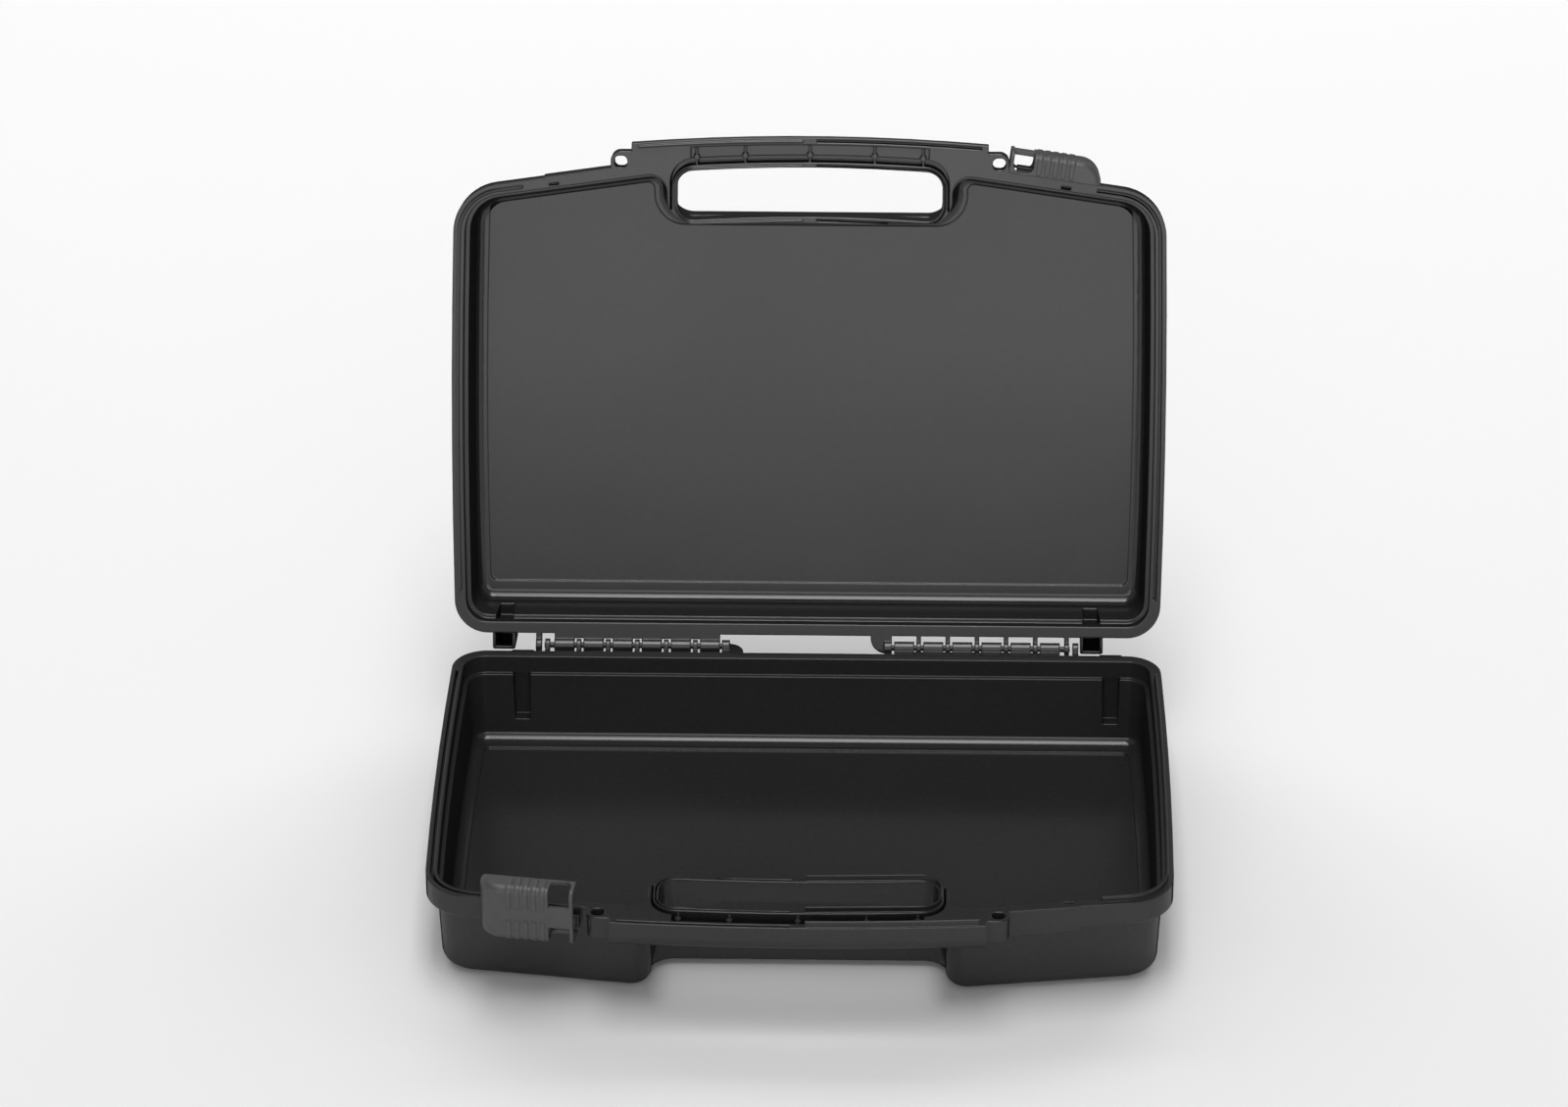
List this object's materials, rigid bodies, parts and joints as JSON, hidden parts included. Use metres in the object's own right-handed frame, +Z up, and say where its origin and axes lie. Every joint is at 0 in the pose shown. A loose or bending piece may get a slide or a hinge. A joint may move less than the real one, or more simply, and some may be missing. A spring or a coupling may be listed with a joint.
{
  "type": "instrument case",
  "caption": "Open hard carrying case of two like hinged half shells with a split carrying handle, sliding side latches and padlock eyes.",
  "frame": {"origin": "middle of the base's flat rest panel, on the surface the case stands on", "axes": "+Z up, -Y towards the handle, +X to the right seen from the handle side; the hinge axis runs along X"},
  "size_m": [0.3194, 0.3418, 0.2603],
  "materials": {
    "shell_plastic": "satin moulded polypropylene",
    "latch_plastic": "satin moulded polypropylene",
    "pin_steel": "drawn steel wire"
  },
  "bodies": {
    "base": {"base_shell": "shell_plastic", "left_hinge_pin": "pin_steel", "right_hinge_pin": "pin_steel"},
    "lid": {"lid_shell": "shell_plastic"},
    "base_latch": {"base_latch": "latch_plastic"},
    "lid_latch": {"lid_latch": "latch_plastic"}
  },
  "joints": [
    {"name": "lid_hinge", "type": "hinge", "parent": "base", "child": "lid", "pos_m": [0, 0.1112, 0.044], "axis": [1, 0, 0], "range_deg": [0, 110]},
    {"name": "base_latch_slide", "type": "slide", "parent": "base", "child": "base_latch", "axis": [0.99, -0.1409, 0], "range_m": [0, 0.0132]},
    {"name": "lid_latch_slide", "type": "slide", "parent": "lid", "child": "lid_latch", "axis": [-0.99, 0.0482, 0.1324], "range_m": [-0.0049, 0.0083]}
  ]
}
